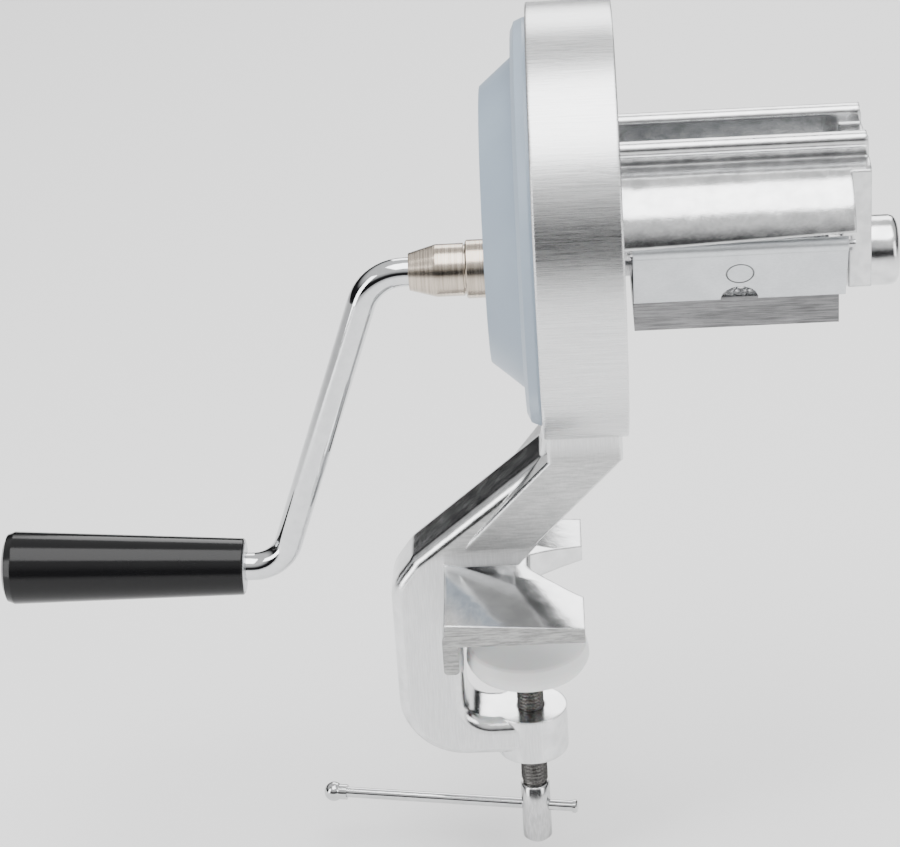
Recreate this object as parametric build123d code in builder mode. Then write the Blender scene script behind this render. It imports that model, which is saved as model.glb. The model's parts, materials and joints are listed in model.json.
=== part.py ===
"""Table-clamped rotary cheese grater, millimetres, +Z up.

The origin is on the clamp screw's axis, in the underside of the upper jaw, which rests on the table top.
+X runs along the crank's axis, from the crank towards the outboard bearing. +Y points away from the
side that carries the front flap.
"""

import os
from math import cos, radians, sin, sqrt

from build123d import *

# --- Overall sizes ------------------------------------------------------------------------------------
crank_height = 125.5  # crank axis above the table top
crank_throw = 112.5  # crank axis to the middle of the lower bend
ring_height = 141.5  # axis of the round end housing above the table top
ring_radius = 73.5
ring_left = 10.5  # left face of the ring, from the screw's axis
ring_width = 28.5
ring_wall = 4.2
ring_back_wall = 4.5
hopper_length = 82.0  # from the ring's right face to the outer face of the end wall

# --- Fits ---------------------------------------------------------------------------------------------
running_clearance = 0.06  # radial, shafts and pins in their bearings
free_clearance = 0.4  # between pieces that pass each other
seat_clearance = 0.15  # radial, the cover's spigot in the ring

# --- Drum and its shaft -------------------------------------------------------------------------------
drum_radius = 20.0
drum_sheet = 1.0
drum_length = 63.5
drum_end_gap = 5.2  # from the ring's right face to the drum
tooth_room = 1.6  # radial room left round the drum for its teeth
shaft_radius = 5.0
journal_radius = 4.5
bush_wall = 2.0
hub_radius = 9.0
hub_disc = 3.0
hub_length = 8.0
hub_windows = 3
hub_window_radius = 3.6
drive_pin_radius = 1.5

# --- Hopper section, from the crank's axis ------------------------------------------------------------
mouth_near = 9.0  # inner faces of the mouth, in front of and behind the axis
mouth_far = 11.0
mouth_top = 47.5
casting_wall = 3.5
lip_height = 5.2
lip_width = 6.2
lip_round = 2.5
near_lip_short = 0.8  # how much the lips stop short of the end wall's outer face
far_lip_short = 0.4
hood_shoulder = 39.0  # where the hood leaves the near wall
hood_stand = 16.4  # from the drum's room to the outer face of the hood's rim
hood_knee = 20.8
hood_bulge = 5.0  # how far the hood stands out of a straight slope
rim_left = 19.9  # height of the hood's lower rim at the ring and at its far end
rim_right = 22.6
back_shoulder = 34.0
back_knee = 18.0
skirt_depth = 3.0  # how far the back wall reaches below the axis
end_wall = 7.5
end_wall_stand = 0.4  # from the drum's room to the end wall's front
end_wall_foot = 3.4
hood_end_short = 6.5  # from the hood's end to the end wall's outer face
boss_radius = 11.9
boss_length = 11.0
boss_round = 3.0
journal_depth = 14.0

# --- Front flap, hinged under the hood's rim ----------------------------------------------------------
flap_pin_stand = 11.8  # from the drum's room to the pin's axis
flap_pin_z = 17.2
flap_pin_radius = 1.25
knuckle_radius = 2.4
flap_lean = 25.0  # degrees from upright
flap_sheet = 2.5
flap_drop = 23.6
flap_end_gap = 3.3  # from the ring's right face to the flap
flap_length = 70.0
thumb_radius = 6.2
mark_radius = 4.6
mark_height = 12.6
mark_line = 0.4
mark_depth = 0.2
spring_wire = 0.8
spring_turns = 3

# --- Discharge sleeve under the drum ------------------------------------------------------------------
sleeve_sheet = 1.2
sleeve_top = 4.6  # below the crank axis, at the front
sleeve_end_top = 6.0  # below the crank axis, at the sleeve's ends
sleeve_back_top = 4.0  # above the crank axis, at the back
sleeve_drop = 15.5
sleeve_length = 68.0
rivet_radius = 1.6
rivet_head_radius = 3.0
rivet_head = 1.1
rivet_inset = 14.0  # from the sleeve's ends
rivet_height = 0.6  # above the crank's axis

# --- Round cover --------------------------------------------------------------------------------------
cover_inset = 4.9  # the flange's edge inside the ring's outside
cover_flange = 5.2
cover_flange_round = 4.2
cover_spigot = 5.0
cover_rim = 12.6  # from the flange's edge to the cone
cover_slope = 9.5  # how far the cone runs in
cover_cone_depth = 11.2
cover_wall = 3.0
cover_hub_radius = 11.0
cover_hub_length = 20.0

# --- Crank --------------------------------------------------------------------------------------------
rod_radius = 5.0
thrust_ring_radius = 10.0
thrust_ring_length = 7.3
collar_radius = 9.0
collar_neck_radius = 6.4
collar_body = 10.9
collar_cone = 8.5
collar_groove = 0.6
crank_reach = 13.3  # from the collar's end to the upper bend
crank_lean = 40.2  # sideways run of the crank's arm
upper_bend = 16.0
lower_bend = 14.0
grip_tilt = 2.4  # degrees
grip_start = 13.1  # from the lower bend to the grip, along the grip's axis
grip_length = 86.3
grip_small_radius = 10.2
grip_large_radius = 13.2
grip_round = 3.5
grip_washer_radius = 9.2
grip_washer = 1.5
washer_stand = 0.3
retainer_radius = 7.4
retainer = 2.0
plug_radius = 9.0
plug = 4.0
retainer_room = 3.0  # depth kept free behind the plug

# --- Clamp frame --------------------------------------------------------------------------------------
frame_width = 25.0
spine_left = -47.3
throat_depth = 23.0  # throat wall from the screw's axis
throat_round = 9.0
knee_round = 16.0
heel_round = 24.0
lower_arm_top = -49.4
lower_arm_bottom = -63.8
lower_boss_radius = 13.3
lower_boss_bottom = -67.5
arm_left_x = 8.5
arm_left_z = 57.5
knee_x = -42.0
knee_z = 16.0
elbow_x = -1.0
elbow_z = 16.5
neck_right = 37.0
neck_low = 60.0
neck_width = 40.0
fan_foot_z = 20.0  # where the arm starts to broaden
fan_foot_left = -24.0
fan_sink = 0.6  # how far the fan's foot lies inside the arm's sides
arm_round = 5.0
neck_round = 1.8
jaw_half = 39.8
jaw_back = -27.5
jaw_tip = 21.3
jaw_edge_root = 8.6  # thickness of the jaw at its outer edges
jaw_edge_tip = 5.3
gusset_top = 18.0
notch_half = 19.0
notch_apex = -1.0
stop_thickness = 5.5
stop_drop = 11.0
stop_round = 1.5

# --- Clamp screw --------------------------------------------------------------------------------------
thread_radius = 5.0
post_radius = 5.4
post_top = -83.8
post_bottom = -107.6
post_round = 1.2
bar_height = -93.4
bar_radius = 2.0
bar_angle = 10.0  # degrees, the bar's heading at rest
bar_left = 78.0
bar_right = 15.6
bar_stake_radius = 2.5
bar_stake = 1.6
bar_ball_radius = 3.7
bar_collar_radius = 2.9
bar_collar = 1.5
pad_radius = 22.4
pad_foot_radius = 20.6
pad_top_radius = 21.6
pad_top = -22.1
pad_bottom = -31.4
pad_belt = -27.9
pad_hub_radius = 8.0
pad_hub_bottom = -36.2
tip_radius = 3.6
tip_top = -26.2
clip_radius = 5.4
clip_groove_radius = 2.6
clip_sheet = 1.0
clip_low = -31.2

# --- Places worked out from the sizes -----------------------------------------------------------------
ring_right = ring_left + ring_width
ring_bore = ring_radius - ring_wall
hopper_right = ring_right + hopper_length
cavity_right = hopper_right - end_wall
hood_right = hopper_right - hood_end_short
drum_left = ring_right + drum_end_gap
drum_right = drum_left + drum_length
drum_room = drum_radius + tooth_room
hood_reach = drum_room + hood_stand
end_wall_front = drum_room + end_wall_stand
cover_flange_radius = ring_radius - cover_inset
cover_cone_radius = cover_flange_radius - cover_rim
cover_face_radius = cover_cone_radius - cover_slope
cover_left = ring_left - cover_flange
face_left = cover_left - cover_cone_depth
thrust_right = face_left - free_clearance
thrust_left = thrust_right - thrust_ring_length
collar_left = thrust_left - collar_body - collar_cone
upper_corner_x = collar_left - crank_reach
lower_corner_x = upper_corner_x - crank_lean
bearing_right = cavity_right + journal_depth
bush_radius = journal_radius + running_clearance + bush_wall
cover_bush_radius = shaft_radius + running_clearance + bush_wall
pin_y = -drum_room - flap_pin_stand
pin_z = crank_height + flap_pin_z
flap_left = ring_right + flap_end_gap
flap_mid = flap_left + flap_length / 2
back_wall = drum_room + casting_wall
sleeve_left = flap_left
sleeve_right = sleeve_left + sleeve_length

rivet_plane = Plane(
    origin=(0, back_wall + sleeve_sheet, crank_height + rivet_height), x_dir=(1, 0, 0), z_dir=(0, 1, 0)
)
rivet_span = sleeve_length / 2 - rivet_inset
rivet_places = [(sleeve_left + sleeve_length / 2 + step * rivet_span, 0) for step in (-1, 0, 1)]
crank_axis = Axis((0, 0, crank_height), (1, 0, 0))
ring_axis = Axis((0, 0, ring_height), (1, 0, 0))
screw_axis = Axis.Z
grip_direction = Vector(-cos(radians(grip_tilt)), 0, sin(radians(grip_tilt)))
lower_corner = Vector(lower_corner_x, 0, crank_height - crank_throw)
grip_base = lower_corner + grip_direction * grip_start
grip_plane = Plane(origin=grip_base, x_dir=grip_direction, z_dir=(0, -1, 0))
grip_axis = Axis(grip_base, grip_direction)
bar_direction = Vector(-cos(radians(bar_angle)), sin(radians(bar_angle)), 0)
bar_origin = Vector(0, 0, bar_height)
bar_plane = Plane(origin=bar_origin, z_dir=bar_direction)
fan_foot_right = elbow_x + (fan_foot_z - elbow_z) * (neck_right - elbow_x) / (neck_low - elbow_z)

os.makedirs("parts", exist_ok=True)


def keep(part, name):
    """Label a finished piece and write it as its own file."""
    part.label = name
    export_step(part, f"parts/{name}.step")


def turn(profile, axis, height=0.0, plane=Plane.XZ):
    """Revolve a closed outline of (along, out) points about an axis `height` above the plane's own."""
    with BuildSketch(plane) as outline:
        with BuildLine():
            Polyline(*[(along, height + out) for along, out in profile], close=True)
        make_face()
    revolve(outline.sketch, axis=axis)


def disc(x_start, x_end, radius, height=crank_height, mode=Mode.ADD):
    """A cylinder along X between two stations."""
    with BuildSketch(Plane.YZ.offset(x_start)) as outline:
        with Locations((0, height)):
            Circle(radius)
    extrude(outline.sketch, amount=x_end - x_start, mode=mode)


def section(x_start, x_end, points, mode=Mode.ADD):
    """A straight run along X of an outline given as (Y, Z above the crank's axis)."""
    with BuildSketch(Plane.YZ.offset(x_start)) as outline:
        with BuildLine():
            Polyline(*[(y, crank_height + z) for y, z in points], close=True)
        make_face()
    extrude(outline.sketch, amount=x_end - x_start, mode=mode)


# --- Head casting: ring, hopper, hood and outboard bearing --------------------------------------------
near_outer = -(mouth_near + casting_wall)
far_outer = mouth_far + casting_wall
hood_inner = casting_wall * 0.9

with BuildPart() as head_casting:
    # The round end housing is a shallow cup, open to the left.
    disc(ring_left, ring_right, ring_radius, ring_height)
    ring_edges = head_casting.edges().filter_by(GeomType.CIRCLE)
    fillet(ring_edges, 0.8)
    disc(ring_left, ring_right - ring_back_wall, ring_bore, ring_height, Mode.SUBTRACT)

    # The hopper and hood, closed by the end wall.
    with BuildSketch(Plane.YZ.offset(ring_right - 1.0)):
        with BuildLine():
            Line((near_outer, crank_height + mouth_top), (near_outer, crank_height + hood_shoulder))
            ThreePointArc(
                (near_outer, crank_height + hood_shoulder),
                (
                    (near_outer - hood_reach) / 2 - hood_bulge / 2,
                    crank_height + (hood_shoulder + hood_knee) / 2 + hood_bulge,
                ),
                (-hood_reach, crank_height + hood_knee),
            )
            Polyline(
                (-hood_reach, crank_height + hood_knee),
                (-hood_reach, crank_height + rim_left),
                (-end_wall_front, crank_height + rim_left),
                (-end_wall_front, crank_height - skirt_depth),
                (back_wall, crank_height - skirt_depth),
                (back_wall, crank_height + back_knee),
                (far_outer, crank_height + back_shoulder),
                (far_outer, crank_height + mouth_top),
                (near_outer, crank_height + mouth_top),
            )
        make_face()
    extrude(amount=hopper_length + 1.0)

    # The hollow: the mouth, the room behind the hood and the room round the drum.
    with BuildSketch(Plane.YZ.offset(ring_right)):
        with BuildLine():
            Line((-mouth_near, crank_height + mouth_top + 1), (-mouth_near, crank_height + hood_shoulder - 2))
            ThreePointArc(
                (-mouth_near, crank_height + hood_shoulder - 2),
                (
                    (-mouth_near - hood_reach + hood_inner) / 2 - hood_bulge / 2,
                    crank_height + (hood_shoulder - 2 + hood_knee - 2) / 2 + hood_bulge - 1,
                ),
                (-hood_reach + hood_inner, crank_height + hood_knee - 2),
            )
            Polyline(
                (-hood_reach + hood_inner, crank_height + hood_knee - 2),
                (-hood_reach + hood_inner, crank_height - skirt_depth - 1),
                (drum_room, crank_height - skirt_depth - 1),
                (drum_room, crank_height + back_knee - 1),
                (mouth_far, crank_height + back_shoulder - 1),
                (mouth_far, crank_height + mouth_top + 1),
                (-mouth_near, crank_height + mouth_top + 1),
            )
        make_face()
    extrude(amount=hood_right - casting_wall - ring_right, mode=Mode.SUBTRACT)
    section(
        hood_right - casting_wall,
        cavity_right,
        [
            (-mouth_near, mouth_top + 1),
            (-mouth_near, back_shoulder),
            (-drum_room, 10.0),
            (-drum_room, -skirt_depth - 1),
            (drum_room, -skirt_depth - 1),
            (drum_room, back_knee - 1),
            (mouth_far, back_shoulder - 1),
            (mouth_far, mouth_top + 1),
        ],
        Mode.SUBTRACT,
    )

    # In front of the end wall the hood is cut back, and its rim rises towards the bearing.
    with BuildSketch(Plane.YZ.offset(hood_right)):
        with Locations((-end_wall_front - hood_reach, crank_height + 20)):
            Rectangle(2 * hood_reach, 80)
    extrude(amount=hopper_right, mode=Mode.SUBTRACT)
    with BuildSketch(Plane.XZ.offset(end_wall_front)):
        with BuildLine():
            Polyline(
                (ring_right, crank_height + rim_left - 6),
                (ring_right, crank_height + rim_left),
                (hood_right, crank_height + rim_right),
                (hood_right, crank_height + rim_left - 6),
                close=True,
            )
        make_face()
    extrude(amount=hood_reach, mode=Mode.SUBTRACT)
    # The front is open between the ring and the end wall, where the flap closes it.
    section(
        ring_right,
        hood_right,
        [(-end_wall_front - 1, 15.0), (-end_wall_front - 1, -9.0), (-drum_room, -9.0), (-drum_room, 15.0)],
        Mode.SUBTRACT,
    )

    # The end wall's foot and the outboard bearing boss.
    section(
        cavity_right,
        hopper_right,
        [
            (-end_wall_front, 10.0),
            (-end_wall_front, -end_wall_foot),
            (back_wall, -end_wall_foot),
            (back_wall, 10.0),
        ],
    )
    disc(cavity_right, hopper_right + boss_length, boss_radius)
    boss_rim = (
        head_casting.edges()
        .filter_by(GeomType.CIRCLE)
        .group_by(Axis.X)[-1]
        .filter_by(lambda e: e.radius > 10)
    )
    fillet(boss_rim, boss_round)

    # The mouth stops below its lips at the end wall, and the lips are round beads.
    section(
        cavity_right,
        hopper_right,
        [(-mouth_near, mouth_top + 1), (-mouth_near, 42.0), (mouth_far, 42.0), (mouth_far, mouth_top + 1)],
        Mode.SUBTRACT,
    )
    section(
        ring_right,
        hopper_right,
        [
            (near_outer - 1, mouth_top + 1),
            (near_outer - 1, mouth_top - lip_round),
            (far_outer + 1, mouth_top - lip_round),
            (far_outer + 1, mouth_top + 1),
        ],
        Mode.SUBTRACT,
    )
    lips = ((-mouth_near - lip_width / 2, near_lip_short), (mouth_far + lip_width / 2, far_lip_short))
    for lip_middle, short in lips:
        with BuildSketch(Plane.YZ.offset(ring_right - 1.0)):
            with Locations((lip_middle, crank_height + mouth_top - lip_height / 2)):
                RectangleRounded(lip_width, lip_height, lip_round)
        extrude(amount=hopper_length + 1.0 - short)

    # The way in for the drum, the outboard bearing and the flap pin's seats.
    disc(ring_right - ring_back_wall, ring_right, drum_room, mode=Mode.SUBTRACT)
    disc(cavity_right, bearing_right, bush_radius, mode=Mode.SUBTRACT)
    with BuildSketch(Plane.YZ.offset(ring_right - ring_back_wall)):
        with Locations((pin_y, pin_z)):
            Circle(flap_pin_radius)
    extrude(amount=hood_right - ring_right + ring_back_wall, mode=Mode.SUBTRACT)
    with BuildSketch(rivet_plane):
        with Locations(*rivet_places):
            Circle(rivet_radius)
    extrude(amount=-(back_wall - drum_room) - sleeve_sheet - 1, mode=Mode.SUBTRACT)
keep(head_casting.part, "head_casting")


# --- Clamp frame: neck, arm, jaw, spine and lower arm --------------------------------------------------
with BuildPart() as clamp_frame:
    with BuildSketch(Plane.XZ):
        with BuildLine():
            FilletPolyline(
                (0, lower_arm_bottom),
                (spine_left, lower_arm_bottom),
                (spine_left, knee_z - 8),
                (knee_x + 3, knee_z + 3),
                (arm_left_x, arm_left_z),
                (ring_left + 1, ring_height - ring_radius + 8),
                radius=[heel_round, knee_round, 6.0, 1.0],
            )
            Polyline(
                (ring_left + 1, ring_height - ring_radius + 8),
                (neck_right, ring_height - ring_radius + 8),
                (neck_right, neck_low),
                (elbow_x, elbow_z),
                (-throat_depth, elbow_z),
            )
            FilletPolyline(
                (-throat_depth, elbow_z),
                (-throat_depth, lower_arm_top),
                (0, lower_arm_top),
                radius=throat_round,
            )
            Line((0, lower_arm_top), (0, lower_arm_bottom))
        make_face()
    extrude(amount=frame_width / 2, both=True)
    outer_edges = clamp_frame.edges().filter_by(
        lambda e: abs(abs(e.center().Y) - frame_width / 2) < 0.01 and e.center().X < 5 and e.center().Z < 52
    )
    fillet(outer_edges.filter_by(lambda e: e.center().X < -throat_depth - 1 or e.center().Z < -45), arm_round)

    # The arm fans out to the neck, which is as wide as the ring's foot.
    for level, left, right, half in (
        (fan_foot_z, fan_foot_left, fan_foot_right, frame_width / 2 - fan_sink),
        (neck_low, ring_left + 0.5, neck_right, neck_width / 2),
    ):
        with BuildSketch(Plane.XY.offset(level)):
            with Locations(((left + right) / 2, 0)):
                RectangleRounded(right - left, 2 * half, neck_round)
    loft(ruled=True)
    with BuildSketch(Plane.XY.offset(neck_low)):
        with Locations(((ring_left + 0.5 + neck_right) / 2, 0)):
            RectangleRounded(neck_right - ring_left - 0.5, neck_width, neck_round)
    extrude(amount=ring_height - ring_radius + 8 - neck_low)

    # The jaw is broad, thin at its outer edges and thick under the arm, and forked at its tip.
    with BuildSketch(Plane.YZ.offset(jaw_back)):
        with BuildLine():
            Polyline(
                (-jaw_half, 0),
                (jaw_half, 0),
                (jaw_half, jaw_edge_root),
                (frame_width / 2, gusset_top),
                (-frame_width / 2, gusset_top),
                (-jaw_half, jaw_edge_root),
                close=True,
            )
        make_face()
    with BuildSketch(Plane.YZ.offset(jaw_tip)):
        with BuildLine():
            Polyline(
                (-jaw_half, 0),
                (jaw_half, 0),
                (jaw_half, jaw_edge_tip),
                (frame_width / 2, jaw_edge_tip + 0.6),
                (-frame_width / 2, jaw_edge_tip + 0.6),
                (-jaw_half, jaw_edge_tip),
                close=True,
            )
        make_face()
    loft()
    with BuildSketch(Plane.XY.offset(-1)):
        with BuildLine():
            notch_tip_near = (jaw_tip + 1, -notch_half)
            notch_tip_far = (jaw_tip + 1, notch_half)
            ThreePointArc(notch_tip_near, (jaw_tip - 13, -notch_half * 0.52), (notch_apex, -2.0))
            Line((notch_apex, -2.0), (notch_apex, 2.0))
            ThreePointArc((notch_apex, 2.0), (jaw_tip - 13, notch_half * 0.52), notch_tip_far)
            Line(notch_tip_far, notch_tip_near)
        make_face()
    extrude(amount=11.5, mode=Mode.SUBTRACT)

    # The stop hangs down behind the table's edge.
    with BuildSketch(Plane.XZ):
        with BuildLine():
            FilletPolyline(
                (-throat_depth - stop_thickness, 4.0),
                (-throat_depth, 4.0),
                (-throat_depth, -stop_drop),
                (-throat_depth - stop_thickness, -stop_drop),
                close=True,
                radius=stop_round,
            )
        make_face()
    extrude(amount=jaw_half, both=True)

    # The lower boss carries the clamp screw.
    with BuildSketch(Plane.XY.offset(lower_boss_bottom)):
        Circle(lower_boss_radius)
    extrude(amount=lower_arm_top - lower_boss_bottom)
    boss_rims = clamp_frame.edges().filter_by(GeomType.CIRCLE).filter_by(
        lambda e: abs(e.radius - lower_boss_radius) < 0.01 and abs(e.center().Z - lower_boss_bottom) < 0.01
    )
    fillet(boss_rims, 1.2)
    with BuildSketch(Plane.XY.offset(lower_boss_bottom - 1)):
        Circle(thread_radius + running_clearance)
    extrude(amount=lower_arm_top - lower_boss_bottom + 2, mode=Mode.SUBTRACT)

    # The neck's top is hollowed to the ring's outside.
    disc(ring_left - 5, ring_right + 5, ring_radius, ring_height, Mode.SUBTRACT)
keep(clamp_frame.part, "clamp_frame")

# --- Round cover and the bearings ---------------------------------------------------------------------
cover_profile = [
    (cover_left, cover_cone_radius),
    (cover_left, cover_flange_radius - cover_flange_round),
    (cover_left + cover_flange_round * 0.3, cover_flange_radius - cover_flange_round * 0.3),
    (cover_left + cover_flange_round, cover_flange_radius),
    (ring_left, cover_flange_radius),
    (ring_left, ring_bore - seat_clearance),
    (ring_left + cover_spigot, ring_bore - seat_clearance),
    (ring_left + cover_spigot, ring_bore - cover_wall),
    (cover_left + cover_wall, ring_bore - cover_wall),
    (cover_left + cover_wall, cover_cone_radius - 1.0),
    (face_left + cover_wall, cover_face_radius - 1.6),
    (face_left + cover_wall, 0),
    (face_left, 0),
    (face_left, cover_face_radius),
]
with BuildPart() as end_cover:
    turn(cover_profile, ring_axis, ring_height)
    disc(face_left, face_left + cover_hub_length, cover_hub_radius)
    disc(face_left - 1, face_left + cover_hub_length + 1, cover_bush_radius, mode=Mode.SUBTRACT)
keep(end_cover.part, "end_cover")

with BuildPart() as cover_bush:
    disc(face_left, face_left + cover_hub_length, cover_bush_radius)
    bore_radius = shaft_radius + running_clearance
    disc(face_left - 1, face_left + cover_hub_length + 1, bore_radius, mode=Mode.SUBTRACT)
keep(cover_bush.part, "cover_bush")

with BuildPart() as outboard_bush:
    disc(cavity_right, bearing_right, bush_radius)
    disc(cavity_right - 1, bearing_right + 1, journal_radius + running_clearance, mode=Mode.SUBTRACT)
keep(outboard_bush.part, "outboard_bush")

# --- Drum, hubs and shaft -----------------------------------------------------------------------------
with BuildPart() as drum_shaft:
    disc(collar_left + collar_cone + 4, drum_right, shaft_radius)
    disc(drum_right, bearing_right - free_clearance, journal_radius)
    chamfer(drum_shaft.edges().filter_by(GeomType.CIRCLE).sort_by(Axis.X)[-1], 0.6)
    for hub_end in (drum_left + hub_length / 2, drum_right - hub_length / 2):
        with BuildSketch(Plane.XY.offset(crank_height - shaft_radius - 1)):
            with Locations((hub_end, 0)):
                Circle(drive_pin_radius)
        extrude(amount=2 * shaft_radius + 2, mode=Mode.SUBTRACT)
keep(drum_shaft.part, "drum_shaft")

with BuildPart() as grating_drum:
    disc(drum_left, drum_right, drum_radius)
    disc(drum_left - 1, drum_right + 1, drum_radius - drum_sheet, mode=Mode.SUBTRACT)
keep(grating_drum.part, "grating_drum")

for hub_name, disc_left, barrel_left in (
    ("drum_hub_left", drum_left, drum_left),
    ("drum_hub_right", drum_right - hub_disc, drum_right - hub_length),
):
    with BuildPart() as drum_hub:
        disc(disc_left, disc_left + hub_disc, drum_radius - drum_sheet)
        disc(barrel_left, barrel_left + hub_length, hub_radius)
        disc(barrel_left - 1, barrel_left + hub_length + 1, shaft_radius, mode=Mode.SUBTRACT)
        with BuildSketch(Plane.YZ.offset(disc_left - 1)):
            with Locations((0, crank_height)):
                with PolarLocations((hub_radius + drum_radius - drum_sheet) / 2, 2 * hub_windows):
                    Circle(hub_window_radius)
        extrude(amount=hub_disc + 2, mode=Mode.SUBTRACT)
        with BuildSketch(Plane.XY.offset(crank_height - hub_radius - 1)):
            with Locations((barrel_left + hub_length / 2, 0)):
                Circle(drive_pin_radius)
        extrude(amount=2 * hub_radius + 2, mode=Mode.SUBTRACT)
    keep(drum_hub.part, hub_name)

with BuildPart() as drive_pins:
    with BuildSketch(Plane.XY.offset(crank_height - hub_radius + 0.5)):
        with Locations((drum_left + hub_length / 2, 0), (drum_right - hub_length / 2, 0)):
            Circle(drive_pin_radius)
    extrude(amount=2 * hub_radius - 1)
keep(drive_pins.part, "drive_pins")

# --- Crank --------------------------------------------------------------------------------------------
with BuildPart() as thrust_ring:
    disc(thrust_left, thrust_right, thrust_ring_radius)
    chamfer(thrust_ring.edges().filter_by(GeomType.CIRCLE), 0.5)
    disc(thrust_left - 1, thrust_right + 1, shaft_radius, mode=Mode.SUBTRACT)
keep(thrust_ring.part, "thrust_ring")

collar_profile = [
    (collar_left, rod_radius),
    (collar_left, collar_neck_radius),
    (collar_left + collar_cone, collar_radius - 0.2),
    (collar_left + collar_cone + 0.8, collar_radius),
    (thrust_left - collar_groove, collar_radius),
    (thrust_left - collar_groove, collar_radius - collar_groove),
    (thrust_left, collar_radius - collar_groove),
    (thrust_left, rod_radius),
]
with BuildPart() as crank_collar:
    turn(collar_profile, crank_axis, crank_height)
keep(crank_collar.part, "crank_collar")

rod_end = grip_base + grip_direction * (grip_length - plug - retainer_room)
with BuildPart() as crank_rod:
    with BuildLine() as rod_path:
        FilletPolyline(
            (collar_left + collar_cone + 4, 0, crank_height),
            (upper_corner_x, 0, crank_height),
            lower_corner,
            rod_end,
            radius=[upper_bend, lower_bend],
        )
    with BuildSketch(Plane(origin=rod_path.line @ 0, z_dir=rod_path.line % 0)):
        Circle(rod_radius)
    sweep()
keep(crank_rod.part, "crank_rod")

# --- Grip, turned about the rod's end -----------------------------------------------------------------
taper = (grip_large_radius - grip_small_radius) / grip_length
grip_profile = [
    (0, grip_washer_radius),
    (0, grip_small_radius - 0.5),
    (0.5, grip_small_radius),
    (grip_length - grip_round, grip_large_radius - taper * grip_round),
    (grip_length - 0.3 * grip_round, grip_large_radius - 0.3 * grip_round),
    (grip_length, grip_large_radius - grip_round),
    (grip_length, plug_radius),
    (grip_length - plug, plug_radius),
    (grip_length - plug, retainer_radius + free_clearance),
    (grip_length - plug - retainer_room - retainer - 1.0, retainer_radius + free_clearance),
    (grip_length - plug - retainer_room - retainer - 1.0, rod_radius + running_clearance),
    (grip_washer, rod_radius + running_clearance),
    (grip_washer, grip_washer_radius),
]
with BuildPart() as grip:
    turn(grip_profile, grip_axis, plane=grip_plane)
keep(grip.part, "grip")

with BuildPart() as grip_washer_piece:
    turn(
        [
            (-washer_stand, rod_radius + running_clearance),
            (-washer_stand, grip_washer_radius - 0.4),
            (0.1, grip_washer_radius),
            (grip_washer, grip_washer_radius),
            (grip_washer, rod_radius + running_clearance),
        ],
        grip_axis,
        plane=grip_plane,
    )
keep(grip_washer_piece.part, "grip_washer")

with BuildPart() as grip_plug:
    turn(
        [
            (grip_length - plug, 0),
            (grip_length - plug, plug_radius),
            (grip_length - 0.4, plug_radius),
            (grip_length, plug_radius - 0.4),
            (grip_length + 0.6, 0),
        ],
        grip_axis,
        plane=grip_plane,
    )
keep(grip_plug.part, "grip_plug")

retainer_start = grip_length - plug - retainer_room - retainer
with BuildPart() as rod_retainer:
    turn(
        [
            (retainer_start, rod_radius),
            (retainer_start, retainer_radius),
            (retainer_start + retainer, retainer_radius),
            (retainer_start + retainer, rod_radius),
        ],
        grip_axis,
        plane=grip_plane,
    )
keep(rod_retainer.part, "rod_retainer")

# --- Front flap, its pin and its spring ---------------------------------------------------------------
lean = radians(flap_lean)
flap_plane = Plane(origin=(0, pin_y, pin_z), x_dir=(1, 0, 0), z_dir=(0, -cos(lean), -sin(lean)))
with BuildPart() as front_flap:
    with BuildSketch(flap_plane):
        with Locations((flap_mid, -flap_drop / 2)):
            Rectangle(flap_length, flap_drop)
    extrude(amount=flap_sheet / 2, both=True)
    with BuildSketch(Plane.YZ.offset(flap_left)):
        with Locations((pin_y, pin_z)):
            Circle(knuckle_radius)
    extrude(amount=flap_length)
    with BuildSketch(flap_plane):
        with Locations((flap_mid, -flap_drop)):
            Circle(thumb_radius)
    extrude(amount=flap_sheet, both=True, mode=Mode.SUBTRACT)
    with BuildSketch(flap_plane.offset(flap_sheet / 2 - mark_depth)):
        with Locations((flap_mid, -flap_drop + mark_height)):
            Circle(mark_radius)
            Circle(mark_radius - mark_line, mode=Mode.SUBTRACT)
    extrude(amount=1, mode=Mode.SUBTRACT)
    with BuildSketch(Plane.YZ.offset(flap_left - 1)):
        with Locations((pin_y, pin_z)):
            Circle(flap_pin_radius + running_clearance)
    extrude(amount=flap_length + 2, mode=Mode.SUBTRACT)
keep(front_flap.part, "front_flap")

with BuildPart() as flap_pin:
    with BuildSketch(Plane.YZ.offset(ring_right - ring_back_wall)):
        with Locations((pin_y, pin_z)):
            Circle(flap_pin_radius)
    extrude(amount=hood_right - ring_right + ring_back_wall)
keep(flap_pin.part, "flap_pin")

coil_radius = flap_pin_radius + free_clearance + spring_wire / 2
with BuildPart() as flap_spring:
    with BuildSketch(Plane.XY.offset(pin_z)):
        with Locations(
            *[
                (ring_right + free_clearance + spring_wire * (turn_index + 0.5), pin_y + coil_radius)
                for turn_index in range(spring_turns)
            ]
        ):
            Circle(spring_wire / 2 * 1.02)
    revolve(axis=Axis((0, pin_y, pin_z), (1, 0, 0)))
keep(flap_spring.part, "flap_spring")

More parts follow.
